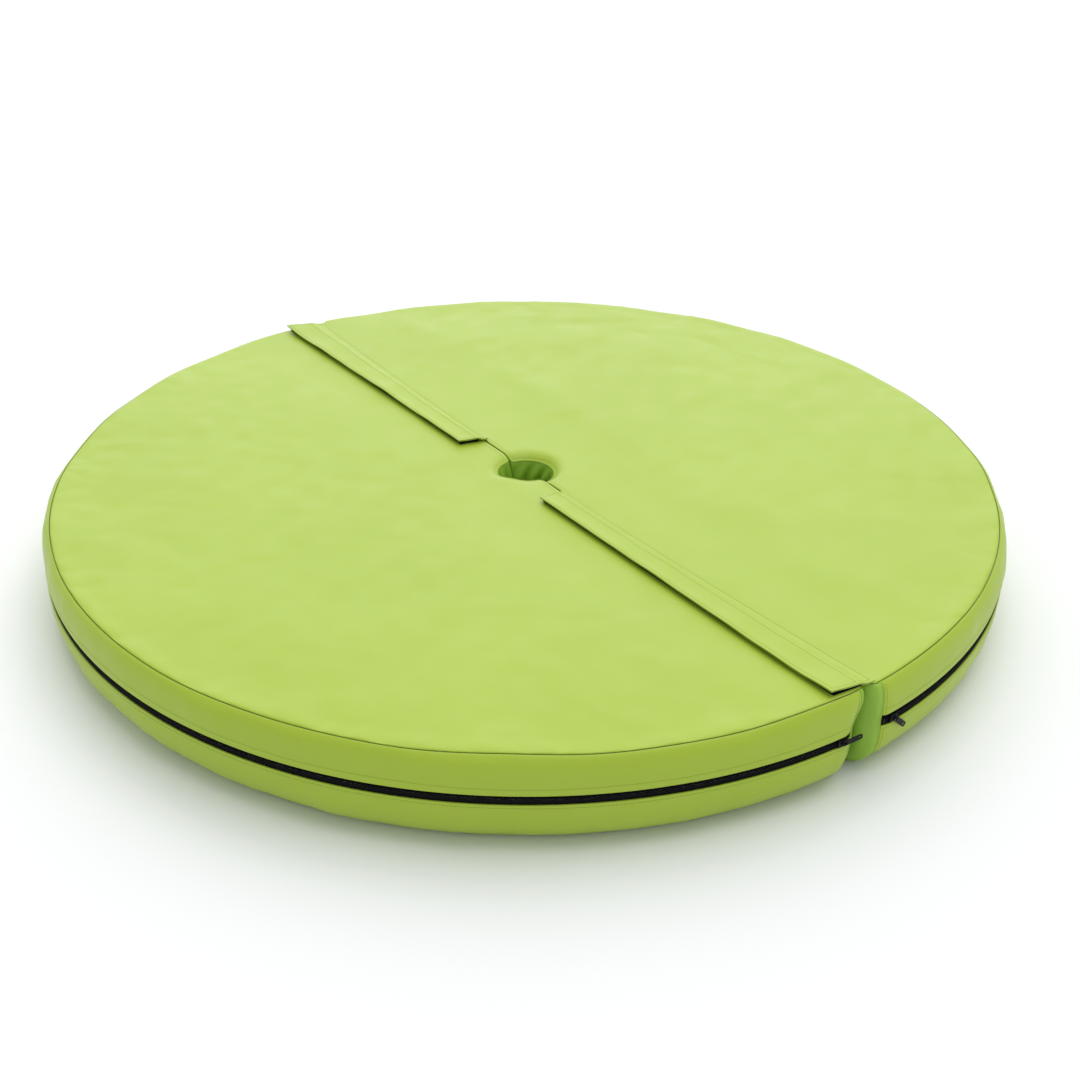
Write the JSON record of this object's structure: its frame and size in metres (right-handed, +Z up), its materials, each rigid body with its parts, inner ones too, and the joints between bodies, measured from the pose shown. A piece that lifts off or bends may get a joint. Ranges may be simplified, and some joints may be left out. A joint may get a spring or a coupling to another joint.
{
  "type": "pole crash mat",
  "caption": "Round foam crash mat split into zipped leatherette halves that close round a pole, with hook-and-loop flaps over the split.",
  "frame": {"origin": "centre of the pole hole at floor level", "axes": "+Z up; the split runs along Y; +X from the front half, which carries the loop tape, to the rear half, which the flaps are sewn to; -Y to the near end, where the zip sliders rest"},
  "size_m": [1.2, 1.2037, 0.12],
  "materials": {
    "leatherette": "lime green PVC-coated fabric, fine grain, soft satin sheen",
    "foam": "pale open-cell polyurethane foam",
    "zip_fabric": "black woven polyester zip tape",
    "zip_coil": "black nylon coil, slight gloss",
    "black_metal": "black lacquered zinc",
    "hook_tape": "black nylon hook tape",
    "loop_tape": "black brushed nylon loop tape"
  },
  "bodies": {
    "front_half": {"front_foam_core": "foam", "front_top_panel": "leatherette", "front_base_panel": "leatherette", "front_upper_band": "leatherette", "front_lower_band": "leatherette", "front_split_panel": "leatherette", "front_zip_upper_tape": "zip_fabric", "front_zip_lower_tape": "zip_fabric", "front_zip_upper_coil": "zip_coil", "front_zip_lower_coil": "zip_coil", "front_zip_near_stop": "black_metal", "front_zip_far_stop": "black_metal", "near_loop_strip": "loop_tape", "far_loop_strip": "loop_tape"},
    "rear_half": {"rear_foam_core": "foam", "rear_top_panel": "leatherette", "rear_base_panel": "leatherette", "rear_upper_band": "leatherette", "rear_lower_band": "leatherette", "rear_split_panel": "leatherette", "rear_zip_upper_tape": "zip_fabric", "rear_zip_lower_tape": "zip_fabric", "rear_zip_upper_coil": "zip_coil", "rear_zip_lower_coil": "zip_coil", "rear_zip_near_stop": "black_metal", "rear_zip_far_stop": "black_metal"},
    "near_flap": {"near_flap_face": "leatherette", "near_flap_lining": "leatherette", "near_hook_strip": "hook_tape"},
    "far_flap": {"far_flap_face": "leatherette", "far_flap_lining": "leatherette", "far_hook_strip": "hook_tape"},
    "front_slider": {"front_zip_slider": "black_metal"},
    "rear_slider": {"rear_zip_slider": "black_metal"},
    "front_pull": {"front_zip_pull": "black_metal"},
    "rear_pull": {"rear_zip_pull": "black_metal"}
  },
  "joints": [
    {"name": "rear_half_slide", "type": "slide", "parent": "front_half", "child": "rear_half", "axis": [1, 0, 0], "range_m": [0, 0.3]},
    {"name": "near_flap_fold", "type": "hinge", "parent": "rear_half", "child": "near_flap", "pos_m": [0.005, -0.33, 0.11715], "axis": [0, 1, 0], "range_deg": [0, 175]},
    {"name": "far_flap_fold", "type": "hinge", "parent": "rear_half", "child": "far_flap", "pos_m": [0.005, 0.338, 0.11715], "axis": [0, 1, 0], "range_deg": [0, 175]},
    {"name": "front_slider_run", "type": "hinge", "parent": "front_half", "child": "front_slider", "pos_m": [0, 0, 0.066], "axis": [0, 0, -1], "range_deg": [0, 174]},
    {"name": "rear_slider_run", "type": "hinge", "parent": "rear_half", "child": "rear_slider", "pos_m": [0, 0, 0.066], "axis": [0, 0, 1], "range_deg": [0, 171]},
    {"name": "front_pull_flip", "type": "hinge", "parent": "front_slider", "child": "front_pull", "pos_m": [-0.02759, -0.60187, 0.066], "axis": [0, 0, -1], "range_deg": [0, 175]},
    {"name": "rear_pull_flip", "type": "hinge", "parent": "rear_slider", "child": "rear_pull", "pos_m": [0.04823, -0.60057, 0.066], "axis": [-0.6798, -0.0546, -0.7314], "range_deg": [0, 175]}
  ]
}
